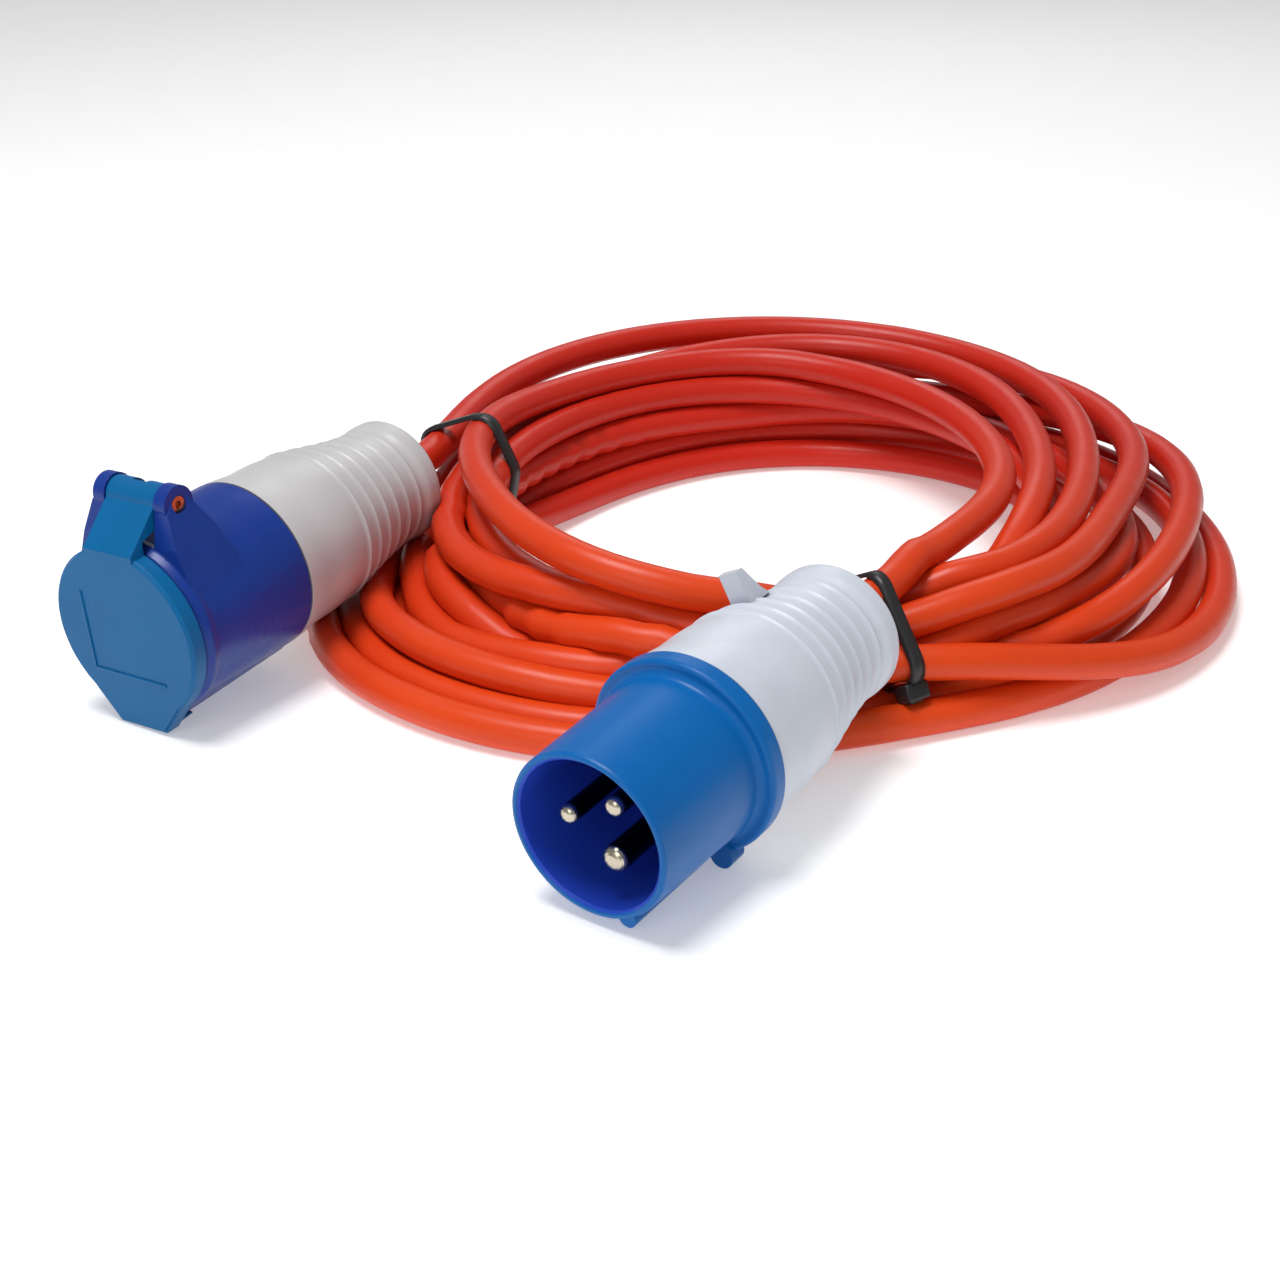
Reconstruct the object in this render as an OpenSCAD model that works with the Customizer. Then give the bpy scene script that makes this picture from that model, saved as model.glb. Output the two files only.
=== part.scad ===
// Hook-up extension lead: a three-pin 16 A plug and a connector with a sprung lid, at the two ends
// of one thick cord, which lies wound in a loose coil that two cable ties hold.
//
// Each half, plug or connector, is drawn in a frame of its own: z = 0 is the joint between the
// coloured front and the white handle, +z points out of the mating face, and +y is away from the key.

/* [Shroud and keyway] */
// Outside radius of the plug's shroud at its rim
shroud_rim_r = 22; // [21.8:0.1:22.2]
// Outside radius of the plug's shroud where it meets the collar
shroud_base_r = 22.8; // [22.4:0.1:22.8]
// Inside radius of the plug's shroud
shroud_bore_r = 19.8; // [19.6:0.1:19.9]
// Depth from the rim down to the face that carries the pins
shroud_depth = 36; // [34:1:37]
// Distance from the rim back to the collar
shroud_length = 39; // [38:0.5:40]
// Radius of the plug's collar
collar_r = 26.8; // [26.4:0.1:27.4]
// Width of the key along the bottom of the shroud
key_w = 5; // [4:0.5:5.5]

/* [Pins and contacts] */
// Radius of the circle that the three pins stand on
pin_circle_r = 8.75; // [8.5:0.05:9]
// Radius of the line and neutral pins
pin_r = 2.5; // [2.4:0.05:2.5]
// Radius of the earth pin
earth_r = 3.5; // [3.4:0.05:3.5]
// How far the tips of the pins stay behind the rim
pin_recess = 3.5; // [3:0.5:5]
// Radial clearance between a pin and the contact that takes it
contact_gap = 0.03; // [0.02:0.01:0.04]

/* [Connector body and lid] */
// Radius of the connector's front rim
body_front_r = 25.2; // [25:0.1:25.6]
// Depth of the ring gap that takes a plug's shroud
socket_depth = 39.5; // [39.5:0.5:40]
// Thickness of the lid
lid_t = 5; // [4.5:0.5:5.5]
// Radius of the round part of the lid
lid_r = 25.6; // [25.3:0.1:26]
// Height of the hinge above the connector's axis
hinge_y = 35; // [34.5:0.5:36]
// Distance of the hinge behind the lid's face
hinge_back = 16.3; // [15.8:0.1:17]

/* [Handles] */
// Length of each white handle
handle_l = 70.5; // [69:0.5:72]
// Radius of a handle where it meets the coloured front
handle_front_r = 26.1; // [25.9:0.1:26.3]
// Radius of a handle between its last rings
handle_waist_r = 18.8; // [18.4:0.1:19.4]
// Radius of the rounded ring at the end of a handle
handle_end_r = 20; // [19.5:0.1:20.5]
// Number of thin rings on a handle
ring_count = 6; // [4:1:6]

/* [Cord] */
// Diameter of the cord
cord_d = 10.5; // [10.2:0.1:10.6]
// Inside radius of the coil
coil_in_r = 70; // [66:1:76]
// Outside radius of the coil
coil_out_r = 150; // [145:1:152]
// Height of the coil
coil_h = 46; // [42:1:48]

/* [Hidden] */
$fn = 72;
gap = 0.05;                  // clearance between pieces that sit in each other
cord_r = cord_d / 2;

// Places of the two halves: the centre of the joint, then how far the nose points down, how far it
// is turned to the left of the viewer, and how far the half is rolled about its own axis.
plug_at = [60.4, -61.8, 28];
plug_turn = [90 + 4.5, 0, -35];
plug_roll = 26.5;
connector_at = [-69.1, 41.5, 32.9];
connector_turn = [90 + 4, 0, -32];
connector_roll = 2;
coil_at = [92, 118, 0];
plug_tie_at = [113, 13, 26];
plug_tie_turn = 32;
connector_tie_at = [-8, 126, 33];
connector_tie_turn = 64;

// Plug, along its own axis
plug_nose = 45;
collar_front = plug_nose - shroud_length;
pin_face = plug_nose - shroud_depth;
spigot_l = 10;
spigot_r = 23.4;
bore_step_r = 20.6;
carrier_back = -4;
barrel_back = -16;
screw_z = -10.5;

// Connector, along its own axis
lid_face = 48.8;
lid_back = lid_face - lid_t;
rim_front = lid_back - 0.3;
socket_floor = rim_front - socket_depth;
socket_r = 23.2;
insert_r = 19.2;
carrier_r = 21.5;
sleeve_bore_r = 17.2;
insert_front = socket_floor + shroud_depth;
contact_front = insert_front - 11;
contact_end = 6.5;
keyway_w = key_w + 1.4;
keyway_r = 25.8;
bulge_y = 27.6;
lid_tip_y = 29.3;
lid_tip_w = 17.6;
hinge_z = lid_face - hinge_back;
hinge_pin_r = 1.5;
knuckle_r = 4.9;
knuckle_w = 18;
ear_r = 5.4;
ear_in = knuckle_w / 2 + 0.3;
ear_out = 13.5;

// Handle, by distance t behind the joint
ring_first = 28.6;
ring_pitch = 6.2;
ring_h = 0.8;
flange_t = 64;
clamp_from = 40;
clamp_l = 11;
sheath_t = 37;
grommet_from = 58;
grommet_to = 78;
grommet_r = 9;

// The stretch of cord that isn't coiled, down the axis of each handle, by distance behind the joint
TAIL_T = [sheath_t, 50, 62, 74, 86];

// ---------------------------------------------------------------- helpers

module place_plug() {
    translate(plug_at) rotate(plug_turn) rotate([0, 0, plug_roll]) children();
}

module place_connector() {
    translate(connector_at) rotate(connector_turn) rotate([0, 0, connector_roll]) children();
}

// A turned solid from [radius, z] points
module turned(points) {
    rotate_extrude() polygon(points);
}

// A plain tube between two heights
module pipe(r_out, r_in, z0, z1) {
    translate([0, 0, z0]) difference() {
        cylinder(r = r_out, h = z1 - z0);
        translate([0, 0, -1]) cylinder(r = r_in, h = z1 - z0 + 2);
    }
}

module rod(r, z0, z1) {
    translate([0, 0, z0]) cylinder(r = r, h = z1 - z0);
}

function unit(v) = v / norm(v);

// Direction of a path at its point i
function heading(path, i) =
    unit(path[min(i + 1, len(path) - 1)] - path[max(i - 1, 0)]);

// One ring of points around a path, set square to it and turned from the side vector
function ring(path, i, r, sides, side) =
    let (t = heading(path, i), u = unit(cross(t, side)), v = cross(u, t))
    [for (k = [0:sides - 1]) path[i] + r * (cos(360 * k / sides) * u + sin(360 * k / sides) * v)];

// A tube of one closed skin along a path
module sweep(path, r, sides, side = [1, 0, 0]) {
    n = len(path);
    points = [for (i = [0:n - 1]) each ring(path, i, r, sides, side)];
    walls = [for (i = [0:n - 2]) for (k = [0:sides - 1])
        [i * sides + k, i * sides + (k + 1) % sides,
         (i + 1) * sides + (k + 1) % sides, (i + 1) * sides + k]];
    caps = [[for (k = [sides - 1:-1:0]) k], [for (k = [0:sides - 1]) (n - 1) * sides + k]];
    polyhedron(points, concat(walls, caps));
}

// Angle of each pole about the axis: earth beside the key, the other two 120 degrees away
function pole_angle(pole) = pole == "earth" ? -90 : pole == "line" ? 30 : 150;
function pole_xy(pole) = pin_circle_r * [cos(pole_angle(pole)), sin(pole_angle(pole))];

module at_pole(pole) {
    translate(concat(pole_xy(pole), [0])) rotate([0, 0, pole_angle(pole)]) children();
}

// ---------------------------------------------------------------- handles

function ease(x) = let (c = min(max(x, 0), 1)) c * c * (3 - 2 * c);

// Outside radius of a handle at distance t behind the joint, without its rings
function handle_r(t) =
    handle_front_r - 0.9 * ease(t / 12)
    - (handle_front_r - 0.9 - handle_waist_r) * ease((t - 16) / 46)
    + (handle_end_r - handle_waist_r) * ease((t - 61) / 4);

// How far a point of the handle stands out on a ring
function ring_at(t) =
    max([for (k = [0:ring_count - 1]) ease(1.6 - 1.8 * abs(t - ring_first - k * ring_pitch))]);

module handle_solid() {
    outside = [for (t = [0:0.775:flange_t + 4]) [handle_r(t) + ring_h * ring_at(t), -t]];
    end_round = [for (a = [15:15:90])
        [handle_end_r - 2.4 + 2.4 * cos(a), -handle_l + 2.4 - 2.4 * sin(a)]];
    inside = [
        [grommet_r + gap, -handle_l], [grommet_r + gap, -grommet_from], [15.5, -grommet_from + 1],
        [19, -34], [20.4, -spigot_l - 6], [21, -spigot_l - 1], [spigot_r + gap, -spigot_l - gap],
        [spigot_r + gap, -1.6], [24.9, -1.6], [24.9, 0]
    ];
    turned(concat(outside, end_round, inside));
}

// Lug that a connector's lid hooks over: a flat front with a sloping web behind it
module lid_lug() {
    lug_t = 38;
    lug_top = 31;
    translate([-3.1, 0, 0]) rotate([90, 0, 90]) linear_extrude(6.2) polygon([
        [21.2, -lug_t], [lug_top, -lug_t], [lug_top, -lug_t - 2.6],
        [24, -lug_t - 6.5], [21.2, -lug_t - 9]
    ]);
}

module plug_handle() {
    color("white") place_plug() {
        handle_solid();
        lid_lug();
    }
}

module connector_handle() {
    color("white") place_connector() handle_solid();
}

module seal() {
    color("dimgray") pipe(24.8, spigot_r + gap, -1.55, -gap);
}

module grommet() {
    color("dimgray") turned([
        [cord_r + gap, -grommet_from], [grommet_r, -grommet_from], [grommet_r, -handle_l],
        [8.6, -handle_l - 1], [7, -grommet_to + 0.6], [6.4, -grommet_to], [cord_r + gap, -grommet_to]
    ]);
}

// ---------------------------------------------------------------- cord grip and wiring

// The grip's outline between two heights, without the groove for the cord
module grip_block(y0, y1) {
    intersection() {
        rod(15, -clamp_from - clamp_l, -clamp_from);
        translate([-13.5, y0, -clamp_from - clamp_l]) cube([27, y1 - y0, clamp_l]);
    }
}

module at_clamp_screws() {
    for (x = [-9.5, 9.5]) {
        translate([x, 0, -clamp_from - clamp_l / 2]) rotate([-90, 0, 0]) children();
    }
}

module clamp_body() {
    color("gainsboro") difference() {
        union() {
            grip_block(-13, -1);
            for (x = [-13.5, 11.5]) {
                translate([x, -6, -clamp_from - 1]) cube([2, 5, clamp_from + 1 + carrier_back - gap]);
            }
        }
        rod(cord_r + gap, -clamp_from - clamp_l - 1, -clamp_from + 1);
        at_clamp_screws() rod(1.6 + gap, -10, 2);
    }
}

module clamp_saddle() {
    color("gainsboro") difference() {
        grip_block(1, 8);
        rod(cord_r + gap, -clamp_from - clamp_l - 1, -clamp_from + 1);
        at_clamp_screws() rod(1.6 + gap, 0, 9);
    }
}

module clamp_screws() {
    color("silver") at_clamp_screws() difference() {
        union() {
            rod(1.6, -9, 8.1);
            rod(2.8, 8 + gap, 10);
        }
        translate([-3, -0.4, 9.2]) cube([6, 0.8, 1]);
    }
}

// Screw that bites the wire in a pole's barrel, across the barrel and pointing away from the axis
module terminal_screw(r_barrel) {
    translate([0, 0, screw_z]) rotate([0, 90, 0]) difference() {
        union() {
            rod(1.7, 1.9, r_barrel + 0.3);
            rod(2.5, r_barrel + 0.2, r_barrel + 1.8);
        }
        translate([-3, -0.35, r_barrel + 1.1]) cube([6, 0.7, 1]);
    }
}

module terminal_screws() {
    color("silver") {
        at_pole("line") terminal_screw(4.2);
        at_pole("neutral") terminal_screw(4.2);
        at_pole("earth") terminal_screw(4.8);
    }
}

// Barrel behind a pin or a contact: a hole for the wire and a threaded one for the screw
module barrel(r_barrel) {
    difference() {
        rod(r_barrel, barrel_back, carrier_back);
        rod(2.1, barrel_back - 1, barrel_back + 9);
        translate([0, 0, screw_z]) rotate([0, 90, 0]) rod(1.7 + gap, 0, r_barrel + 1);
    }
}

// One core from its barrel to the end of the cord's sheath
module core(pole) {
    out = pole_xy(pole);
    mid = 2.5 / pin_circle_r * out;
    steps = [for (k = [0:6]) k / 6];
    bend = [for (s = steps) concat(out + (mid - out) * ease(s), [barrel_back - 1 - 16 * s])];
    path = concat([concat(out, [barrel_back + 7])], bend, [concat(mid, [-sheath_t + gap])]);
    sweep(path, 1.8, 10);
}

module line_core() { color("saddlebrown") core("line"); }
module neutral_core() { color("royalblue") core("neutral"); }
module earth_core() { color("yellowgreen") core("earth"); }

// ---------------------------------------------------------------- plug front

// The key: a rib with a rounded crest along the bottom of the shroud
module key_rib(z0, z1, w, r) {
    translate([0, 0, z0]) linear_extrude(z1 - z0) {
        translate([-w / 2, -r + w / 2]) square([w, w]);
        translate([0, -r + w / 2]) circle(r = w / 2);
    }
}

module plug_shroud() {
    fillet = 2.2;
    collar_slope = [for (a = [0:18:90])
        [shroud_base_r + fillet - fillet * cos(a), collar_front + fillet - fillet * sin(a)]];
    collar_edge = [for (a = [90:-22.5:0])
        [collar_r - 1.4 + 1.4 * cos(a), collar_front - 1.4 + 1.4 * sin(a)]];
    color("dodgerblue") place_plug() difference() {
        union() {
            turned(concat(
                [[16, 0.2], [16, plug_nose], [shroud_rim_r - 0.9, plug_nose],
                 [shroud_rim_r - 0.26, plug_nose - 0.26], [shroud_rim_r, plug_nose - 0.9]],
                collar_slope, collar_edge, [[collar_r, 0.9], [collar_r - 0.7, 0.2]]
            ));
            rod(spigot_r, -spigot_l, 1);
            difference() {
                key_rib(collar_front - 2, plug_nose - 0.8, key_w, 24.6);
                rod(shroud_bore_r + 1, 0, plug_nose + 1);
            }
            key_rib(1.6, collar_front + 1.4, 6.4, 30);
        }
        rod(shroud_bore_r, carrier_back + 8, plug_nose + 1);
        translate([0, 0, plug_nose - 0.9]) cylinder(r1 = shroud_bore_r, r2 = shroud_bore_r + 1, h = 1);
        rod(bore_step_r, -spigot_l - 1, carrier_back + 8 + gap);
    }
}

module pin_carrier() {
    color("mediumblue") place_plug() difference() {
        union() {
            rod(shroud_bore_r - 0.1, 0, pin_face);
            rod(bore_step_r - 0.1, carrier_back, carrier_back + 8);
        }
        at_pole("line") rod(3.2 + gap, carrier_back - 1, pin_face + 1);
        at_pole("neutral") rod(3.2 + gap, carrier_back - 1, pin_face + 1);
        at_pole("earth") rod(4.2 + gap, carrier_back - 1, pin_face + 1);
    }
}

// A pin: a bright shank with a domed tip, a thicker root held in the carrier, a barrel behind
module pin(r_shank, r_root, r_barrel) {
    dome = r_shank * 0.75;
    tip = plug_nose - pin_recess;
    rod(r_shank, pin_face - 0.1, tip - dome);
    turned(concat(
        [[0, tip - dome - 0.01]],
        [for (a = [0:15:90]) [r_shank * cos(a), tip - dome - 0.01 + dome * sin(a)]]
    ));
    rod(r_root, carrier_back - 0.5, pin_face);
    barrel(r_barrel);
}

module line_pin() {
    color("khaki") place_plug() at_pole("line") pin(pin_r, 3.2, 4.2);
}

module neutral_pin() {
    color("khaki") place_plug() at_pole("neutral") pin(pin_r, 3.2, 4.2);
}

module earth_pin() {
    color("khaki") place_plug() at_pole("earth") pin(earth_r, 4.2, 4.8);
}

// ---------------------------------------------------------------- connector front

// Half-outline of the keyway's bulge: straight sides from the round body down to a flat
module bulge_outline(r, y_low, w_low) {
    polygon([
        [-r * cos(35), -r * sin(35)], [r * cos(35), -r * sin(35)],
        [w_low / 2, -y_low], [-w_low / 2, -y_low]
    ]);
}

// The bulge dies out towards the handle: its bottom edge slopes up from the front to the joint
module keyway_bulge() {
    intersection() {
        translate([0, 0, 0.2]) linear_extrude(rim_front - 0.2) bulge_outline(24.6, bulge_y, 15.6);
        translate([-30, 0, 0]) rotate([90, 0, 90]) linear_extrude(60) polygon([
            [0, 0.2], [-25.4, 0.2], [-bulge_y, rim_front - 3], [-bulge_y + 1, rim_front], [0, rim_front]
        ]);
    }
}

module ear_web(foot) {
    polygon([
        [hinge_y - 1, hinge_z + ear_r - 0.1], [hinge_y + ear_r - 0.6, hinge_z - 2.1],
        [26, hinge_z - 9], [foot, hinge_z - 13], [foot, hinge_z + 8.6], [25, hinge_z + 7.6]
    ]);
}

module hinge_ear(x0, x1) {
    translate([x0, 0, 0]) rotate([90, 0, 90]) linear_extrude(x1 - x0) {
        translate([hinge_y, hinge_z]) circle(r = ear_r);
        ear_web(19);
    }
}

// Slanted flanks that carry each ear's outer face down onto the round of the body
module ear_flanks() {
    intersection() {
        translate([-25, 0, 0]) rotate([90, 0, 90]) linear_extrude(50) ear_web(9.5);
        linear_extrude(hinge_z + 12) for (side = [-1, 1]) {
            polygon([
                [side * ear_in, 10], [side * ear_in, hinge_y + 1], [side * ear_out, hinge_y + 1],
                [side * 23.4, 9]
            ]);
        }
    }
}

module connector_body() {
    wall = [
        [socket_r - 2, 0.2], [socket_r - 2, rim_front], [body_front_r - 0.9, rim_front],
        [body_front_r, rim_front - 0.8], [body_front_r + 0.75, rim_front - 2.6],
        [body_front_r + 0.75, rim_front - 3.4], [body_front_r + 0.1, rim_front - 5.4],
        [body_front_r + 0.1, rim_front - 9], [handle_front_r + 0.1, 6], [handle_front_r + 0.1, 0.8],
        [handle_front_r - 0.5, 0.2]
    ];
    color("royalblue") place_connector() difference() {
        union() {
            turned(wall);
            rod(socket_r - 1, 0.2, socket_floor);
            rod(spigot_r, -spigot_l, 1);
            keyway_bulge();
            hinge_ear(-ear_out, -ear_in);
            hinge_ear(ear_in, ear_out);
            ear_flanks();
        }
        rod(socket_r, socket_floor, rim_front + 1);
        key_rib(socket_floor, rim_front + 1, keyway_w, keyway_r);
        rod(carrier_r + 0.1, -spigot_l - 1, rim_front);
        translate([0, hinge_y, hinge_z]) rotate([0, 90, 0]) {
            rod(hinge_pin_r + 0.03, -ear_out - 1, ear_out + 1);
            rod(2.6, ear_out - 1.2, ear_out + 1);
        }
    }
}

// Round skirt that a plug's shroud slides over, with the flange that seats it in the body
module insert_sleeve() {
    color("navy") place_connector() difference() {
        union() {
            rod(insert_r, socket_floor, insert_front);
            rod(carrier_r, carrier_back, socket_floor);
        }
        rod(sleeve_bore_r, carrier_back - 1, insert_front + 1);
    }
}

// Block inside the sleeve that holds the three contacts behind the holes for the pins
module contact_carrier() {
    color("navy") place_connector() difference() {
        rod(sleeve_bore_r - gap, carrier_back, insert_front);
        for (pole = ["line", "neutral"]) {
            at_pole(pole) rod(pin_r + 0.5, contact_front - 1, insert_front + 1);
            at_pole(pole) rod(3.7 + gap, carrier_back - 1, contact_front);
        }
        at_pole("earth") rod(earth_r + 0.5, contact_front - 1, insert_front + 1);
        at_pole("earth") rod(4.8 + gap, carrier_back - 1, contact_front);
    }
}

// A contact: a tube that a pin enters, with a barrel behind
module contact(r_pin, r_tube, r_barrel) {
    difference() {
        rod(r_tube, carrier_back - 0.5, contact_front - gap);
        rod(r_pin + contact_gap, contact_end, contact_front + 1);
    }
    barrel(r_barrel);
}

module line_contact() {
    color("goldenrod") place_connector() at_pole("neutral") contact(pin_r, 3.7, 4.2);
}

module neutral_contact() {
    color("goldenrod") place_connector() at_pole("line") contact(pin_r, 3.7, 4.2);
}

module earth_contact() {
    color("goldenrod") place_connector() at_pole("earth") contact(earth_r, 4.8, 4.8);
}

// ---------------------------------------------------------------- lid

module lid_plate() {
    translate([0, 0, lid_back]) {
        cylinder(r = lid_r, h = lid_t - 1);
        translate([0, 0, lid_t - 1]) cylinder(r1 = lid_r, r2 = lid_r - 0.8, h = 1);
        linear_extrude(lid_t - 0.6) bulge_outline(lid_r - 0.2, lid_tip_y, lid_tip_w);
        linear_extrude(lid_t) bulge_outline(lid_r - 1.1, lid_tip_y - 0.7, lid_tip_w - 1);
    }
}

// Lip under the tip that catches the lug of a mated plug, below the body's bulge
module lid_hook() {
    translate([-lid_tip_w / 2 + 1.2, 0, 0]) rotate([90, 0, 90]) linear_extrude(lid_tip_w - 2.4) polygon([
        [-lid_tip_y, lid_back + 1], [-lid_tip_y, lid_back - 1.5], [-bulge_y - 1.3, lid_back - 7],
        [-bulge_y - 0.8, lid_back - 7], [-bulge_y - 0.5, lid_back + 1]
    ]);
}

// Arm from the top of the plate back to the knuckle
module lid_arm() {
    translate([-knuckle_w / 2, 0, 0]) rotate([90, 0, 90]) linear_extrude(knuckle_w) polygon([
        [18, lid_face], [25, lid_face], [hinge_y + 0.8, hinge_z + 4.6], [hinge_y, hinge_z],
        [hinge_y - 4.2, hinge_z + 1], [27.6, lid_back - 0.2], [26.4, lid_back], [18, lid_back]
    ]);
}

module connector_lid() {
    color("steelblue") place_connector() difference() {
        union() {
            lid_plate();
            lid_hook();
            lid_arm();
            translate([0, hinge_y, hinge_z]) rotate([0, 90, 0]) rod(knuckle_r, -knuckle_w / 2, knuckle_w / 2);
        }
        translate([0, hinge_y, hinge_z]) rotate([0, 90, 0]) {
            rod(hinge_pin_r + gap, -knuckle_w, knuckle_w);
            rod(3.1, -3.6, 3.6);
        }
        translate([-2.6, hinge_y - 6, hinge_z - 6]) cube([5.2, 12, 6]);
        rod(24.4 + gap, lid_back - 1, lid_back + 1.6);
    }
}

module lid_gasket() {
    color("black") place_connector() pipe(24.4, 20.6, lid_back - 0.2, lid_back + 1.5);
}

module hinge_pin() {
    color("peru") place_connector() translate([0, hinge_y, hinge_z]) rotate([0, 90, 0]) difference() {
        union() {
            rod(hinge_pin_r, -ear_out, ear_out - 0.5);
            rod(2.4, ear_out - 1.1, ear_out - 0.1);
        }
        rod(1.1, ear_out - 2, ear_out);
    }
}

// Torsion spring around the hinge pin: four turns, one leg down to the body
module lid_spring() {
    wire_r = 0.4;
    coil_r = 2.3;
    turns = 4;
    steps = turns * 12;
    leg = [[-1.9, 26, hinge_z - 5.2], [-1.9, hinge_y - 2.8, hinge_z - 2.4]];
    turn_points = [for (k = [0:steps])
        [-1.9 + 3.8 * k / steps, hinge_y - coil_r * cos(30 * k), hinge_z + coil_r * sin(30 * k)]];
    color("silver") place_connector() sweep(concat(leg, turn_points), wire_r, 6);
}

// ---------------------------------------------------------------- cord

function tail_path() = [for (t = TAIL_T) [0, 0, -t]];

module plug_tail() {
    color("orangered") place_plug() sweep(tail_path(), cord_r, 12);
}

module connector_tail() {
    color("orangered") place_connector() sweep(tail_path(), cord_r, 12);
}

// Room that a half needs in the coil: its handle and the start of its cord
module handle_room() {
    turned([
        [0, 8], [28, 8], [28, -16], [25.6, -32], [21.6, -52], [21, -handle_l - 0.5],
        [9.4, -handle_l - 0.5], [7.6, -grommet_to - 0.5], [0, -grommet_to - 0.5]
    ]);
}

// The coil as one closed ring of its outer shape
module cord_coil() {
    round_r = 12;
    width = coil_out_r - coil_in_r;
    color("orangered") difference() {
        translate(coil_at) rotate_extrude($fn = 144) translate([coil_in_r, 0]) {
            translate([round_r, 0]) square([width - 2 * round_r, coil_h]);
            translate([0, round_r]) square([width, coil_h - 2 * round_r]);
            for (x = [round_r, width - round_r]) {
                for (y = [round_r, coil_h - round_r]) {
                    translate([x, y]) circle(r = round_r, $fn = 36);
                }
            }
        }
        place_plug() handle_room();
        place_connector() handle_room();
    }
}

module stadium(w, h) {
    r = h / 2;
    square([w - h, h], center = true);
    for (x = [-(w - h) / 2, (w - h) / 2]) {
        translate([x, 0]) circle(r = r);
    }
}

// A cable tie: an oval band with its ratchet head, standing across the cord
module cable_tie() {
    band_w = 4.6;
    band_t = 1.3;
    color("black") rotate([90, 0, 90]) translate([0, 0, -band_w / 2]) {
        linear_extrude(band_w) difference() {
            stadium(36 + 2 * band_t, 34 + 2 * band_t);
            stadium(36, 34);
        }
        translate([16, -13, -1.4]) cube([5, 8, band_w + 2.8]);
    }
}

module plug_tie() {
    translate(plug_tie_at) rotate([0, 0, plug_tie_turn]) cable_tie();
}

module connector_tie() {
    translate(connector_tie_at) rotate([0, 0, connector_tie_turn]) cable_tie();
}

// ---------------------------------------------------------------- nodes

plug_shroud();
pin_carrier();
line_pin();
neutral_pin();
earth_pin();
place_plug() terminal_screws();  // plug_terminal_screws
plug_handle();
place_plug() seal();  // plug_seal
place_plug() clamp_body();  // plug_clamp_body
place_plug() clamp_saddle();  // plug_clamp_saddle
place_plug() clamp_screws();  // plug_clamp_screws
place_plug() grommet();  // plug_grommet
place_plug() line_core();  // plug_line_core
place_plug() neutral_core();  // plug_neutral_core
place_plug() earth_core();  // plug_earth_core
connector_body();
insert_sleeve();
contact_carrier();
line_contact();
neutral_contact();
earth_contact();
place_connector() terminal_screws();  // connector_terminal_screws
connector_handle();
place_connector() seal();  // connector_seal
place_connector() clamp_body();  // connector_clamp_body
place_connector() clamp_saddle();  // connector_clamp_saddle
place_connector() clamp_screws();  // connector_clamp_screws
place_connector() grommet();  // connector_grommet
place_connector() mirror([1, 0, 0]) line_core();  // connector_line_core
place_connector() mirror([1, 0, 0]) neutral_core();  // connector_neutral_core
place_connector() earth_core();  // connector_earth_core
connector_lid();
lid_gasket();
hinge_pin();
lid_spring();
plug_tail();
connector_tail();
cord_coil();
plug_tie();
connector_tie();
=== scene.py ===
import math

import bmesh
import bpy
import numpy as np
from mathutils import Euler, Matrix, Vector


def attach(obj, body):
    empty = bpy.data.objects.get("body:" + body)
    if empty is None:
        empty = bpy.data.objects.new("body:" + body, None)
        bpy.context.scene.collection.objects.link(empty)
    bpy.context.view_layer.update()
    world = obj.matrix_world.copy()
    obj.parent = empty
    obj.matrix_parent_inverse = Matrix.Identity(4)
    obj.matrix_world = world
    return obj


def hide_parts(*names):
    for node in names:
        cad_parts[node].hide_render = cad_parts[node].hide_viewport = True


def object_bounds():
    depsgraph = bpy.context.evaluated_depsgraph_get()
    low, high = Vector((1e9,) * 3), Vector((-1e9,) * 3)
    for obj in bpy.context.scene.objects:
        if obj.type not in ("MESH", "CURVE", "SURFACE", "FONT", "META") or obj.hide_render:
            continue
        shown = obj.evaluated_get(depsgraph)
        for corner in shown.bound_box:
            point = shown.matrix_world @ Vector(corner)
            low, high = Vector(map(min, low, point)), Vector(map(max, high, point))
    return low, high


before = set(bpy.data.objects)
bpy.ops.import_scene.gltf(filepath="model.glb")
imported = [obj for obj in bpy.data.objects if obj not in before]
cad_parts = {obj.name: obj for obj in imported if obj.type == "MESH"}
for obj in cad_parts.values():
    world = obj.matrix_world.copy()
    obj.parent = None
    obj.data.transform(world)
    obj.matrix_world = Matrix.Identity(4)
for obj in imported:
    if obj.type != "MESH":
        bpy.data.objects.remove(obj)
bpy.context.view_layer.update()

MM = 0.001

# ---------------------------------------------------------------- camera

CAMERA_TARGET = Vector((47.1, 59.7, 0.0)) * MM
CAMERA_DISTANCE = 600 * MM
CAMERA_ELEVATION = 25.3
CAMERA_LENS = 54.56


def make_camera():
    """The photograph's camera: level, looking along +Y and down onto the lead."""
    down = math.radians(CAMERA_ELEVATION)
    camera = bpy.data.objects.new("camera", bpy.data.cameras.new("camera"))
    bpy.context.collection.objects.link(camera)
    camera.data.lens = CAMERA_LENS
    camera.data.sensor_width = 36
    camera.location = CAMERA_TARGET + CAMERA_DISTANCE * Vector((0, -math.cos(down), math.sin(down)))
    camera.rotation_euler = (math.radians(90) - down, 0, 0)
    bpy.context.scene.camera = camera


# ---------------------------------------------------------------- cord: its facts and its route

CORD_D = 10.5                      # millimetres, as is the whole route
CORD_R = CORD_D / 2
LEAST_BEND = 4 * CORD_D
NODE_STEP = 6.0                    # between points of the route
LANE_STEP = 1.5                    # degrees between points of the first guess
HELD = 5                           # points at each end that the handles hold
SHELTERED = 9                      # points at each end that may lie inside a handle

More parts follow.
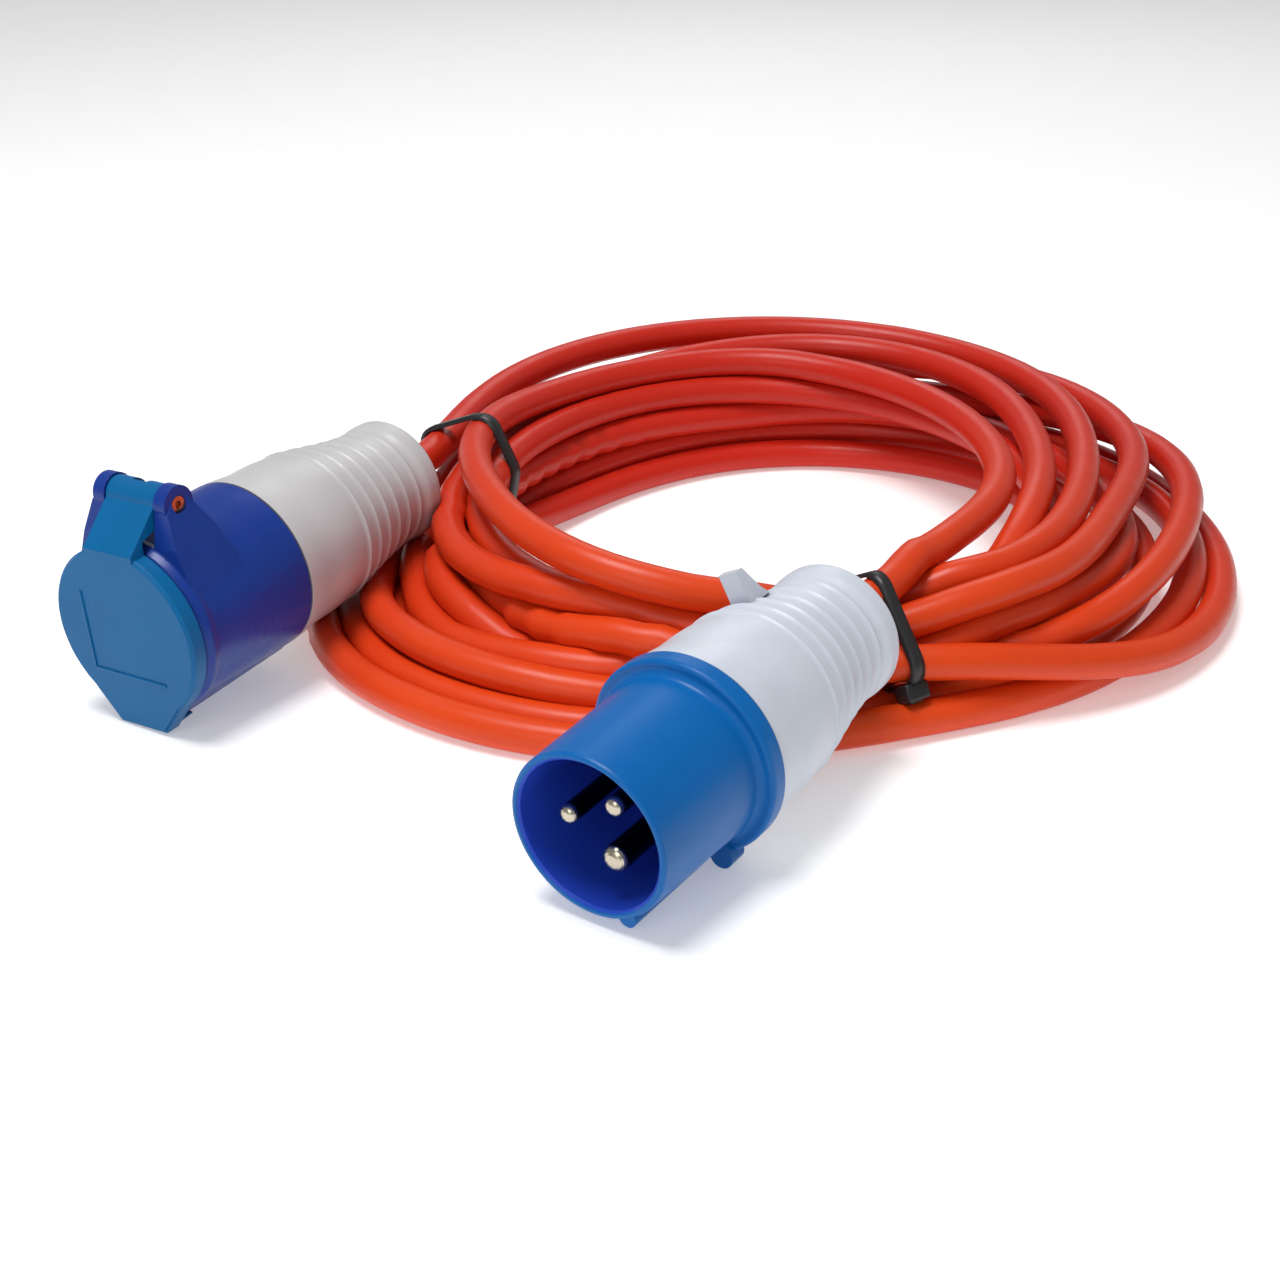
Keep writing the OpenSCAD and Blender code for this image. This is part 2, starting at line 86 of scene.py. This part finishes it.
# The two halves, as part.scad places them: joint, nose turn and pitch, and distances behind the joint
PLUG_AT, PLUG_TURN = (60.4, -61.8, 28.0), (94.5, 0, -35)
CONNECTOR_AT, CONNECTOR_TURN = (-69.1, 41.5, 32.9), (94, 0, -32)
CONNECTOR_ROLL = 2
LID_FACE = 48.8
PLUG_NOSE_R, CONNECTOR_NOSE_R = 22.5, 25.6
PIN_TIP_FROM, PIN_TIP_TO = 38.8, 39.8          # along the plug's axis, where the painted shade on the pin shanks ends and the tips turn bright
BORE_FROM, BORE_TO = 20.2, 20.6                # radii between which the shroud's inner colour ends
TAIL_T = (50, 62, 74, 86)
GROMMET_END = 78.0
HANDLE_END = 70.5

COIL_CENTRE = np.array((90.0, 124.7))
STATIONS = (-77, -60, -40, -15, 15, 45, 75, 105, 140, 178, 212, 245)

# One row for each turn, from the plug's end: (radius, height) of the cord at each station, in degrees
# counterclockwise from +X. Chosen so that the turns lie over and beside each other as in the
# photograph; the first turn starts and the last one ends in a tail.
LANES = (
    (None, None, (84, 40), (76, 40), (73, 40), (79, 40), (90, 40), (93, 40), (89, 41), (96, 45), (104, 45), (121, 42)),
    ((104, 24), (108, 30), (94, 38), (89, 38), (92, 39), (110, 40), (117, 41), (105, 39), (100, 33), (97, 32), (118, 30), (119, 29)),
    ((113, 25), (121, 33), (114, 34), (112, 32), (133, 30), (147, 31), (128, 31), (116, 29), (111, 25), (108, 27), (128, 11), (131, 17)),
    ((107, 15), (127, 20), (129, 24), (132, 25), (148, 25), (147, 20), (133, 20), (125, 19), (112, 15), (106, 15), (142, 15), (137, 9)),
    ((118, 15), (119, 21), (119, 23), (116, 22), (112, 22), (106, 24), (98, 25), (86, 24), (83, 24), (88, 24), (119, 20), (121, 18)),
    ((124, 27), (135, 20), (148, 8), (149, 7), (150, 8), (148, 9), (134, 7), (122, 7), (118, 7), (138, 6), (160, 6), (154, 6)),
    ((127, 5), (134, 7), (136, 8), (139, 12), (140, 12), (136, 9), (123, 8), (112, 7), (107, 6), (127, 6), (149, 6), (143, 6)),
    ((115, 5), (120, 6), (123, 10), (124, 11), (122, 11), (114, 14), (101, 15), (86, 14), (82, 15), (97, 8), (139, 6), (130, 6)),
    ((103, 5), (103, 8), (108, 12), (104, 12), (100, 12), (98, 9), (95, 7), (88, 6), (78, 6), (86, 12), (129, 21), (115, 8)),
    ((96, 17), (97, 21), (97, 26), (93, 26), (88, 28), (90, 30), (92, 31), (89, 31), (84, 32), (88, 35), (108, 30), (108, 27)),
    ((94, 24), (112, 31), (104, 36), (101, 36), (111, 38), (131, 39), (133, 42), (125, 43), (113, 42), (108, 38), None, None),
)

# How firmly the settling keeps each turn in its lane: the top turns, which the photograph shows, most
HOLD = (0.08, 0.05, 0.05, 0.02, 0.015, 0.05, 0.015, 0.015, 0.015, 0.015, 0.05)

# Cable ties: the centre of the bundle, the way the cord runs through it, in degrees, and the height
# above which its strands lie
TIES = {"plug": ((113, 13), 32, 11), "connector": ((-8, 126), 64, 19)}
TIE_W, TIE_T = 4.6, 1.3


def half_axis(at, turn):
    """Joint of a half and the unit vector that points back along its handle."""
    rotation = Euler([math.radians(a) for a in turn]).to_matrix()
    return np.array(at), np.array(rotation @ Vector((0, 0, -1)))


PLUG, CONNECTOR = half_axis(PLUG_AT, PLUG_TURN), half_axis(CONNECTOR_AT, CONNECTOR_TURN)


def behind(half, t):
    return half[0] + t * half[1]


def through(knots, values, at):
    """Values at the places asked for, on a smooth curve through uneven knots."""
    step = np.diff(knots)[:, None]
    slope = np.diff(values, axis=0) / step
    tangent = np.vstack([slope[:1], np.zeros_like(values[2:]), slope[-1:]])
    tangent[1:-1] = (slope[1:] * step[:-1] + slope[:-1] * step[1:]) / (step[1:] + step[:-1])
    i = np.clip(np.searchsorted(knots, at, side="right") - 1, 0, len(knots) - 2)
    h = step[i]
    u = (at - knots[i])[:, None] / h
    return ((2 * u**3 - 3 * u**2 + 1) * values[i] + (u**3 - 2 * u**2 + u) * h * tangent[i]
            + (3 * u**2 - 2 * u**3) * values[i + 1] + (u**3 - u**2) * h * tangent[i + 1])


def lengths_along(path):
    return np.r_[0, np.cumsum(np.linalg.norm(np.diff(path, axis=0), axis=1))]


def first_route():
    """The cord from handle to handle, an even step apart, and the turn that each point belongs to."""
    knots, values = [], []
    for turn, row in enumerate(LANES):
        for station, lane in zip(STATIONS, row):
            if lane:
                knots.append(station + 360 * turn)
                values.append(lane)
    angles = np.arange(knots[0], knots[-1], LANE_STEP)
    lanes = through(np.array(knots, float), np.array(values, float), angles)
    coil = np.c_[COIL_CENTRE[0] + lanes[:, 0] * np.cos(np.radians(angles)),
                 COIL_CENTRE[1] + lanes[:, 0] * np.sin(np.radians(angles)), lanes[:, 1]]
    start = [behind(PLUG, t) for t in TAIL_T]
    end = [behind(CONNECTOR, t) for t in reversed(TAIL_T)]
    path = np.vstack([start, coil, end])
    turns = np.r_[np.zeros(len(start)), (angles - STATIONS[0]) // 360, np.full(len(end), len(LANES) - 1)]
    along = lengths_along(path)
    even = np.linspace(0, along[-1], int(along[-1] / NODE_STEP))
    path = np.c_[[np.interp(even, along, path[:, k]) for k in range(3)]].T
    return path, np.interp(even, along, turns).astype(int)


# ---------------------------------------------------------------- cord: settling

def near_pairs(path, reach):
    """Pairs of points closer than reach that aren't neighbours along the cord."""
    first, second = [], []
    for a in range(0, len(path), 200):
        gap2 = ((path[a:a + 200, None] - path[None]) ** 2).sum(2)
        i, j = np.nonzero(gap2 < reach * reach)
        apart = j - i - a > 6
        first.append(i[apart] + a)
        second.append(j[apart])
    return np.concatenate(first), np.concatenate(second)


def smoothed(path):
    """Takes out wiggles; a round arc keeps its radius."""
    for s in (1, 2, 4):
        wiggle = path[:-4 * s] - 4 * path[s:-3 * s] + 6 * path[2 * s:-2 * s] - 4 * path[3 * s:-s] + path[4 * s:]
        path = path.copy()
        path[2 * s:-2 * s] -= 0.35 * wiggle / 16
    return path


def opened(path, step):
    """Opens bends that are tighter than the cord allows."""
    span = 5
    least = 2 * LEAST_BEND * math.sin(span * step / LEAST_BEND)
    chord = path[2 * span:] - path[:-2 * span]
    length = np.linalg.norm(chord, axis=1)
    push = (np.clip(least - length, 0, None) / length * 0.12)[:, None] * chord
    path[2 * span:] += push
    path[:-2 * span] -= push
    return path


def kept_apart(path, pairs):
    """Pushes crossing and touching stretches a diameter apart."""
    i, j = pairs
    gap = path[j] - path[i]
    length = np.sqrt((gap * gap).sum(1))
    close = length < CORD_D
    i, j, gap, length = i[close], j[close], gap[close], length[close]
    push = (0.25 * (CORD_D - length) / np.maximum(length, 0.1))[:, None] * gap
    total, count = np.zeros_like(path), np.zeros(len(path))
    np.add.at(total, j, push)
    np.add.at(total, i, -push)
    np.add.at(count, j, 1)
    np.add.at(count, i, 1)
    return path + total * (1.6 / np.maximum(count, 1.6))[:, None]


def handle_reach(t, nose_r):
    """Radius that the cord's centre keeps from a half's axis, by distance behind the joint."""
    r = np.where(t > HANDLE_END, 9.0, 26.5 + CORD_R - 6.7 * np.clip((t - 16) / 40, 0, 1))
    r = np.where(t < -16, nose_r + CORD_R, r)
    return np.where((t > GROMMET_END) | (t < -46), 0, r)


def kept_out(path, half, nose_r):
    """Pushes the cord out of a handle."""
    away = path - half[0]
    t = away @ half[1]
    away -= t[:, None] * half[1]
    r = np.linalg.norm(away, axis=1)
    inside = np.clip(handle_reach(t, nose_r) - r, 0, 1)
    inside[:SHELTERED] = 0
    inside[-SHELTERED:] = 0
    return path + away * (inside / r)[:, None]


def even_steps(path, step):
    for _ in range(3):
        for odd in (0, 1):
            a = np.arange(odd, len(path) - 1, 2)
            gap = path[a + 1] - path[a]
            length = np.linalg.norm(gap, axis=1)
            pull = ((length - step) / length * 0.5)[:, None] * gap
            path[a] += pull
            path[a + 1] -= pull
    return path


def settle(path, turns, rounds=420):
    """Lets the cord find its place: it keeps its length and least bend, lies on the floor, on itself
    and beside the handles, and stays near its lanes, which the ties hold."""
    step = NODE_STEP
    home = path.copy()
    held = np.zeros(len(path), bool)
    held[:HELD] = held[-HELD:] = True
    final_hold = np.array(HOLD)[turns]
    for n in range(rounds):
        fade = min(1, n / (rounds * 0.75))
        hold = 0.15 * (1 - fade) + final_hold * fade
        along = np.zeros_like(path)
        along[1:-1] = path[2:] - path[:-2]
        along /= np.maximum(np.linalg.norm(along, axis=1), 1e-6)[:, None]
        back = home - path
        back -= (back * along).sum(1)[:, None] * along
        path = path + hold[:, None] * back
        path[:, 2] -= 0.03
        path = opened(smoothed(path), step)
        if n % 12 == 0:
            pairs = near_pairs(path, CORD_D + 4)
        for _ in range(3):
            path = kept_apart(path, pairs)
            path = kept_out(kept_out(path, PLUG, PLUG_NOSE_R), CONNECTOR, CONNECTOR_NOSE_R)
            path[:, 2] = np.maximum(path[:, 2], CORD_R)
        path = even_steps(path, step)
        path[held] = home[held]
    return path


def make_cord():
    """The cord as one round curve, and its route in millimetres."""
    path, turns = first_route()
    for _ in range(6):
        path[1:-1] = (path[:-2] + 2 * path[1:-1] + path[2:]) / 4
    path = settle(path, turns)
    curve = bpy.data.curves.new("cord", "CURVE")
    curve.dimensions = "3D"
    curve.bevel_depth = 1.0            # times each point's radius
    curve.bevel_resolution = 4
    curve.use_fill_caps = True
    spline = curve.splines.new("POLY")
    spline.points.add(len(path) - 1)
    for point, place in zip(spline.points, path * MM):
        point.co = (*place, 1)
        point.radius = CORD_R * MM
    spline.use_smooth = True
    cord = bpy.data.objects.new("cord", curve)
    bpy.context.collection.objects.link(cord)
    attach(cord, "lead")
    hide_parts("cord_coil", "plug_tail", "connector_tail")
    return cord, path


# ---------------------------------------------------------------- cable ties

def hull(points):
    """Convex outline of 2D points, counterclockwise."""
    points = sorted(map(tuple, points))
    outline = []
    for run in (points, points[::-1]):
        side = []
        for p in run:
            while len(side) > 1 and ((side[-1][0] - side[-2][0]) * (p[1] - side[-2][1])
                                     <= (side[-1][1] - side[-2][1]) * (p[0] - side[-2][0])):
                side.pop()
            side.append(p)
        outline += side[:-1]
    return outline


def tie_outline(path, centre, turn, above):
    """The band's inner outline, around every strand that runs through the tie."""
    along = np.array((math.cos(math.radians(turn)), math.sin(math.radians(turn)), 0))
    across = np.array((-along[1], along[0], 0))
    away = path - np.array((*centre, 0))
    through_tie = (np.abs(away @ along) < TIE_W) & (np.abs(away @ across) < 24) & (path[:, 2] > above)
    places = np.c_[away[through_tie] @ across, path[through_tie, 2]]
    ring = np.linspace(0, 2 * math.pi, 24, endpoint=False)
    circles = places[:, None] + (CORD_R + 0.1) * np.c_[np.cos(ring), np.sin(ring)][None]
    return np.array(hull(circles.reshape(-1, 2))), along, across


def add_box(bm, place, size, frame_axes, bevel=0.4):
    """A bevelled block at a place, in millimetres, set in three axes."""
    made = bmesh.ops.create_cube(bm, size=1)["verts"]
    edges = list({e for v in made for e in v.link_edges})
    for v in made:
        v.co = Vector((v.co.x * size[0], v.co.y * size[1], v.co.z * size[2]))
    result = bmesh.ops.bevel(bm, geom=edges, offset=bevel, segments=2, affect="EDGES", profile=0.6)
    corners = {v for f in result["faces"] for v in f.verts} | {v for v in made if v.is_valid}
    for v in corners:
        v.co = Vector(place) + v.co.x * frame_axes[0] + v.co.y * frame_axes[1] + v.co.z * frame_axes[2]


def finish_mesh(bm, name):
    """A smooth object in metres from a mesh drawn in millimetres."""
    mesh = bpy.data.meshes.new(name)
    bm.to_mesh(mesh)
    bm.free()
    mesh.transform(((MM, 0, 0, 0), (0, MM, 0, 0), (0, 0, MM, 0), (0, 0, 0, 1)))
    for face in mesh.polygons:
        face.use_smooth = True
    made = bpy.data.objects.new(name, mesh)
    bpy.context.collection.objects.link(made)
    return made


def make_tie(name, path, head_at, tail_length):
    """A nylon tie drawn tight: band, ratchet head towards head_at degrees, and the end past the head."""
    centre, turn, above = TIES[name]
    outline, along, across = tie_outline(path, centre, turn, above)
    up = np.array((0, 0, 1.0))
    n = len(outline)
    nxt, prv = np.roll(outline, -1, 0), np.roll(outline, 1, 0)
    way = nxt - prv
    way /= np.linalg.norm(way, axis=1)[:, None]
    out = np.c_[way[:, 1], -way[:, 0]]
    bm = bmesh.new()
    rings = []
    profile = ((0, -0.5), (0.25, -0.5), (0.5, -0.42), (1, -0.42), (1, 0.42), (0.5, 0.42), (0.25, 0.5), (0, 0.5))
    for k in range(n):
        ring = []
        for depth, side in profile:
            flat = outline[k] + out[k] * depth * TIE_T
            place = np.array((*centre, 0)) + across * flat[0] + up * flat[1] + along * side * TIE_W
            ring.append(bm.verts.new(place))
        rings.append(ring)
    for k in range(n):
        a, b = rings[k], rings[(k + 1) % n]
        for m in range(len(profile)):
            bm.faces.new((a[m], a[(m + 1) % len(profile)], b[(m + 1) % len(profile)], b[m]))
    bmesh.ops.recalc_face_normals(bm, faces=bm.faces)
    middle = outline.mean(0)
    heading = np.array((math.cos(math.radians(head_at)), math.sin(math.radians(head_at))))
    spot = max(range(n), key=lambda k: (outline[k] - middle) @ heading / np.linalg.norm(outline[k] - middle))
    way3 = Vector(across * way[spot][0] + up * way[spot][1])
    out3 = Vector(across * out[spot][0] + up * out[spot][1])
    base = Vector(np.array((*centre, 0)) + across * outline[spot][0] + up * outline[spot][1])
    axes = (way3, out3, Vector(along))
    add_box(bm, base + out3 * 2.6, (6.4, 5.0, 7.6), axes, 0.7)
    add_box(bm, base + out3 * 4.6 + way3 * 0.6, (3.2, 2.2, 4.4), axes, 0.3)
    add_box(bm, base + out3 * (1.5 + tail_length / 2), (1.1, tail_length, 4.2), axes, 0.25)
    tie = finish_mesh(bm, name + "_cable_tie")
    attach(tie, "lead")
    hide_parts(name + "_tie")
    return tie


def make_lid_lines():
    """The thin raised corner of a frame on the lid's face, drawn as two low bars."""
    turn = Euler([math.radians(a) for a in CONNECTOR_TURN]).to_matrix()
    turn = turn @ Matrix.Rotation(math.radians(CONNECTOR_ROLL), 3, "Z")
    axes = tuple(turn @ Vector(a) for a in ((1, 0, 0), (0, 1, 0), (0, 0, 1)))
    bm = bmesh.new()
    for x, y, wide, high in ((-14, -1, 0.8, 24), (-0.5, -13, 27, 0.8)):
        add_box(bm, Vector(CONNECTOR_AT) + turn @ Vector((x, y, LID_FACE + 0.15)), (wide, high, 0.5), axes, 0.15)
    lines = finish_mesh(bm, "lid_frame_lines")
    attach(lines, "lid")
    return lines


# ---------------------------------------------------------------- materials

FAR_SHADE_FROM, FAR_SHADE_TO = -30, 150        # along +Y, in millimetres, over which painted shade deepens on the cord towards the back


def plastic(name, colour, shade, rough, grain=900, bump=0.05, patch=35, coat=0.0, bevel=0.35,
            subsurface=0.0, metal=0.0, painted_corner_shade=None, scratches=0.0, inside=None, painted_shank_shade=None, painted_far_shade=None,
            shine=0.5):
    """A moulded or turned surface: two close shades in soft patches, uneven gloss, a fine grain, soft
    edges, and, where asked for, painted shade in the corners and fine scratches. inside is a colour for
    what lies within the shroud's bore, a further one is painted shade on the pin shanks behind the
    plug's pin tips, and a last one is painted shade that the colour darkens to towards the back of the coil. shine is
    the specular level."""
    material = bpy.data.materials.new(name)
    material.use_nodes = True
    nodes, links = material.node_tree.nodes, material.node_tree.links
    skin = nodes["Principled BSDF"]
    place = nodes.new("ShaderNodeTexCoord").outputs["Object"]

    def noise(scale, detail=4.0, roughness=0.55):
        node = nodes.new("ShaderNodeTexNoise")
        node.inputs["Scale"].default_value = scale
        node.inputs["Detail"].default_value = detail
        node.inputs["Roughness"].default_value = roughness
        links.new(place, node.inputs["Vector"])
        return node.outputs["Fac"]

    def mix(factor, a, b):
        node = nodes.new("ShaderNodeMix")
        node.data_type = "RGBA"
        links.new(factor, node.inputs["Factor"])
        for value, socket in ((a, node.inputs[6]), (b, node.inputs[7])):
            if isinstance(value, tuple):
                socket.default_value = (*value, 1)
            else:
                links.new(value, socket)
        return node.outputs[2]

    def remap(value, low, high, to_low, to_high):
        node = nodes.new("ShaderNodeMapRange")
        node.inputs["From Min"].default_value = low
        node.inputs["From Max"].default_value = high
        node.inputs["To Min"].default_value = to_low
        node.inputs["To Max"].default_value = to_high
        links.new(value, node.inputs["Value"])
        return node.outputs["Result"]

    patches = noise(patch)
    tone = mix(remap(patches, 0.35, 0.65, 0, 1), colour, shade)
    # painted shade: the colour darkens in corners and crevices, where the ambient occlusion is low
    if painted_corner_shade:
        corner = nodes.new("ShaderNodeAmbientOcclusion")
        corner.samples = 6
        corner.inputs["Distance"].default_value = 3 * MM
        tone = mix(remap(corner.outputs["AO"], 0.35, 0.9, 0.75, 0), tone, painted_corner_shade)
    if inside or painted_shank_shade:
        own = nodes.new("ShaderNodeMapping")
        own.vector_type = "TEXTURE"
        own.inputs["Location"].default_value = Vector(PLUG_AT) * MM
        own.inputs["Rotation"].default_value = [math.radians(a) for a in PLUG_TURN]
        links.new(place, own.inputs["Vector"])
        parts = nodes.new("ShaderNodeSeparateXYZ")
        links.new(own.outputs["Vector"], parts.inputs["Vector"])
    if inside:
        flat = nodes.new("ShaderNodeCombineXYZ")
        links.new(parts.outputs["X"], flat.inputs["X"])
        links.new(parts.outputs["Y"], flat.inputs["Y"])
        radius = nodes.new("ShaderNodeVectorMath")
        radius.operation = "LENGTH"
        links.new(flat.outputs["Vector"], radius.inputs[0])
        tone = mix(remap(radius.outputs["Value"], BORE_FROM * MM, BORE_TO * MM, 1, 0), tone, inside)
    # painted shade: the pin shanks behind the tips are coloured near black
    if painted_shank_shade:
        tone = mix(remap(parts.outputs["Z"], PIN_TIP_FROM * MM, PIN_TIP_TO * MM, 1, 0), tone, painted_shank_shade)
    # painted shade: the colour darkens and reddens towards the back of the coil
    if painted_far_shade:
        spread = nodes.new("ShaderNodeSeparateXYZ")
        links.new(place, spread.inputs["Vector"])
        tone = mix(remap(spread.outputs["Y"], FAR_SHADE_FROM * MM, FAR_SHADE_TO * MM, 0, 1), tone, painted_far_shade)
    links.new(tone, skin.inputs["Base Color"])
    skin.inputs["Specular IOR Level"].default_value = shine
    links.new(remap(noise(patch * 6), 0.3, 0.7, rough * 0.85, rough * 1.2), skin.inputs["Roughness"])
    skin.inputs["Metallic"].default_value = metal
    skin.inputs["Coat Weight"].default_value = coat
    skin.inputs["Coat Roughness"].default_value = 0.12
    skin.inputs["Subsurface Weight"].default_value = subsurface
    skin.inputs["Subsurface Radius"].default_value = (1.0, 0.8, 0.7)
    skin.inputs["Subsurface Scale"].default_value = 2 * MM
    height = noise(grain, 2.0)
    if scratches:
        stretch = nodes.new("ShaderNodeMapping")
        stretch.inputs["Scale"].default_value = (1, 1, 0.04)
        links.new(place, stretch.inputs["Vector"])
        lines = nodes.new("ShaderNodeTexNoise")
        lines.inputs["Scale"].default_value = 1600
        links.new(stretch.outputs["Vector"], lines.inputs["Vector"])
        height = mix(remap(patches, 0, 1, scratches, scratches), height, lines.outputs["Fac"])
    relief = nodes.new("ShaderNodeBump")
    relief.inputs["Strength"].default_value = bump
    relief.inputs["Distance"].default_value = 0.3 * MM
    links.new(height, relief.inputs["Height"])
    if bevel:
        soft = nodes.new("ShaderNodeBevel")
        soft.samples = 4
        soft.inputs["Radius"].default_value = bevel * MM
        links.new(soft.outputs["Normal"], relief.inputs["Normal"])
    links.new(relief.outputs["Normal"], skin.inputs["Normal"])
    return material


def give(nodes, material):
    for node in nodes:
        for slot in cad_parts[node].material_slots:
            slot.material = material


def dress_cad(lid_lines):
    """Gives every CAD node that shows, and the lines on the lid, its material."""
    plug_blue = plastic("plug_blue", (0.001, 0.125, 0.42), (0.001, 0.115, 0.39), 0.34, bump=0.02, grain=500,
                        inside=(0.020, 0.065, 0.52), shine=0.22)
    block_blue = plastic("pin_block_blue", (0.022, 0.050, 0.46), (0.018, 0.044, 0.41), 0.42, shine=0.3)
    body_blue = plastic("body_blue", (0.008, 0.040, 0.27), (0.007, 0.036, 0.25), 0.30, bump=0.02, grain=500,
                        shine=0.28)
    lid_blue = plastic("lid_blue", (0.001, 0.125, 0.33), (0.001, 0.112, 0.30), 0.36, bump=0.02, grain=500,
                       shine=0.2)
    # the last colour of both handles is painted shade that darkens their corners
    white = plastic("plug_handle_white", (0.62, 0.66, 0.74), (0.57, 0.61, 0.69), 0.38, coat=0.1,
                    subsurface=0.05, painted_corner_shade=(0.34, 0.36, 0.44), shine=0.35)
    warm_white = plastic("connector_handle_white", (0.56, 0.55, 0.56), (0.52, 0.51, 0.52), 0.38, coat=0.1,
                         subsurface=0.05, painted_corner_shade=(0.30, 0.29, 0.31), shine=0.35)
    # the pins' last colour is painted shade on the shanks behind the tips
    nickel = plastic("pin_nickel", (0.62, 0.56, 0.44), (0.52, 0.46, 0.35), 0.24, metal=1.0, bump=0.08,
                     scratches=0.5, bevel=0.25, painted_shank_shade=(0.030, 0.026, 0.020))
    brass = plastic("contact_brass", (0.74, 0.52, 0.22), (0.66, 0.44, 0.17), 0.28, metal=1.0, bump=0.08,
                    scratches=0.5, bevel=0.2)
    steel = plastic("screw_steel", (0.60, 0.60, 0.60), (0.50, 0.50, 0.51), 0.32, metal=1.0, bump=0.1,
                    scratches=0.6, bevel=0.15)
    copper = plastic("hinge_copper", (0.72, 0.36, 0.20), (0.60, 0.28, 0.15), 0.30, metal=1.0, bump=0.08,
                     scratches=0.5, bevel=0.2)
    rubber = plastic("seal_rubber", (0.018, 0.018, 0.020), (0.028, 0.028, 0.030), 0.62, bump=0.12)
    grommet = plastic("grommet_grey", (0.42, 0.43, 0.46), (0.36, 0.37, 0.40), 0.55, bump=0.1)
    clamp = plastic("clamp_grey", (0.12, 0.12, 0.13), (0.09, 0.09, 0.10), 0.48, bump=0.1)
    brown = plastic("core_brown", (0.16, 0.06, 0.025), (0.13, 0.05, 0.02), 0.40)
    blue = plastic("core_blue", (0.02, 0.12, 0.55), (0.015, 0.10, 0.48), 0.40)
    green = plastic("core_green_yellow", (0.40, 0.55, 0.04), (0.10, 0.38, 0.05), 0.40, patch=120)
    give(["plug_shroud"], plug_blue)
    give(["pin_carrier", "insert_sleeve", "contact_carrier"], block_blue)
    give(["connector_body"], body_blue)
    give(["connector_lid"], lid_blue)
    lid_lines.data.materials.append(lid_blue)
    give(["plug_handle"], white)
    give(["connector_handle"], warm_white)
    give(["line_pin", "neutral_pin", "earth_pin"], nickel)
    give(["line_contact", "neutral_contact", "earth_contact"], brass)
    give(["plug_terminal_screws", "connector_terminal_screws", "plug_clamp_screws",
          "connector_clamp_screws", "lid_spring"], steel)
    give(["hinge_pin"], copper)
    give(["plug_seal", "connector_seal", "lid_gasket"], rubber)
    give(["plug_grommet", "connector_grommet"], grommet)
    give(["plug_clamp_body", "plug_clamp_saddle", "connector_clamp_body", "connector_clamp_saddle"], clamp)
    give(["plug_line_core", "connector_line_core"], brown)
    give(["plug_neutral_core", "connector_neutral_core"], blue)
    give(["plug_earth_core", "connector_earth_core"], green)


# ---------------------------------------------------------------- floor and light

def make_floor():
    """A white sheet just under the lead."""
    lo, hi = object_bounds()
    middle = (lo + hi) / 2
    bm = bmesh.new()
    bmesh.ops.create_grid(bm, x_segments=8, y_segments=8, size=6)
    mesh = bpy.data.meshes.new("floor")
    bm.to_mesh(mesh)
    bm.free()
    floor = bpy.data.objects.new("floor", mesh)
    floor.location = (middle.x, middle.y, -0.2 * MM)
    bpy.context.collection.objects.link(floor)
    white = plastic("floor_white", (0.90, 0.90, 0.90), (0.88, 0.88, 0.88), 0.75, bump=0.0, bevel=0)
    skin = white.node_tree.nodes["Principled BSDF"]
    skin.inputs["Emission Color"].default_value = (1, 1, 1, 1)
    skin.inputs["Emission Strength"].default_value = 0.30
    floor.data.materials.append(white)


def add_light(name, place, target, size, power, colour=(1, 1, 1)):
    light = bpy.data.lights.new(name, "AREA")
    light.shape = "DISK"
    light.size = size
    light.energy = power
    light.color = colour
    lamp = bpy.data.objects.new(name, light)
    lamp.location = place
    lamp.rotation_euler = (Vector(place) - Vector(target)).to_track_quat("Z", "Y").to_euler()
    bpy.context.collection.objects.link(lamp)


def light_up():
    """Soft studio light from above, in front and behind, and an even white surround."""
    target = (0.06, 0.06, 0)
    add_light("key", (-0.20, -0.10, 1.3), target, 0.6, 13)
    add_light("front", (-0.5, -1.2, 0.7), target, 0.8, 3.5)
    add_light("back", (0.2, 1.3, 0.9), target, 0.7, 2)
    world = bpy.data.worlds.new("studio")
    bpy.context.scene.world = world
    world.use_nodes = True
    world.node_tree.nodes["Background"].inputs["Color"].default_value = (1, 1, 1, 1)
    world.node_tree.nodes["Background"].inputs["Strength"].default_value = 0.30
    bpy.context.scene.view_settings.view_transform = "Standard"


# ---------------------------------------------------------------- making it

make_camera()
cord, route = make_cord()
plug_tie = make_tie("plug", route, 205, 3)
connector_tie = make_tie("connector", route, -30, 3)
# the cord's last colour is painted shade, darker towards the back of the coil
cord.data.materials.append(plastic("cord_orange", (0.78, 0.070, 0.006), (0.72, 0.060, 0.006), 0.36,
                                   grain=500, bump=0.02, patch=20, bevel=0, shine=0.3,
                                   painted_far_shade=(0.56, 0.020, 0.008)))
tie_black = plastic("tie_black", (0.012, 0.012, 0.013), (0.018, 0.018, 0.02), 0.35, bump=0.06)
for tie in (plug_tie, connector_tie):
    tie.data.materials.append(tie_black)
dress_cad(make_lid_lines())
make_floor()
light_up()
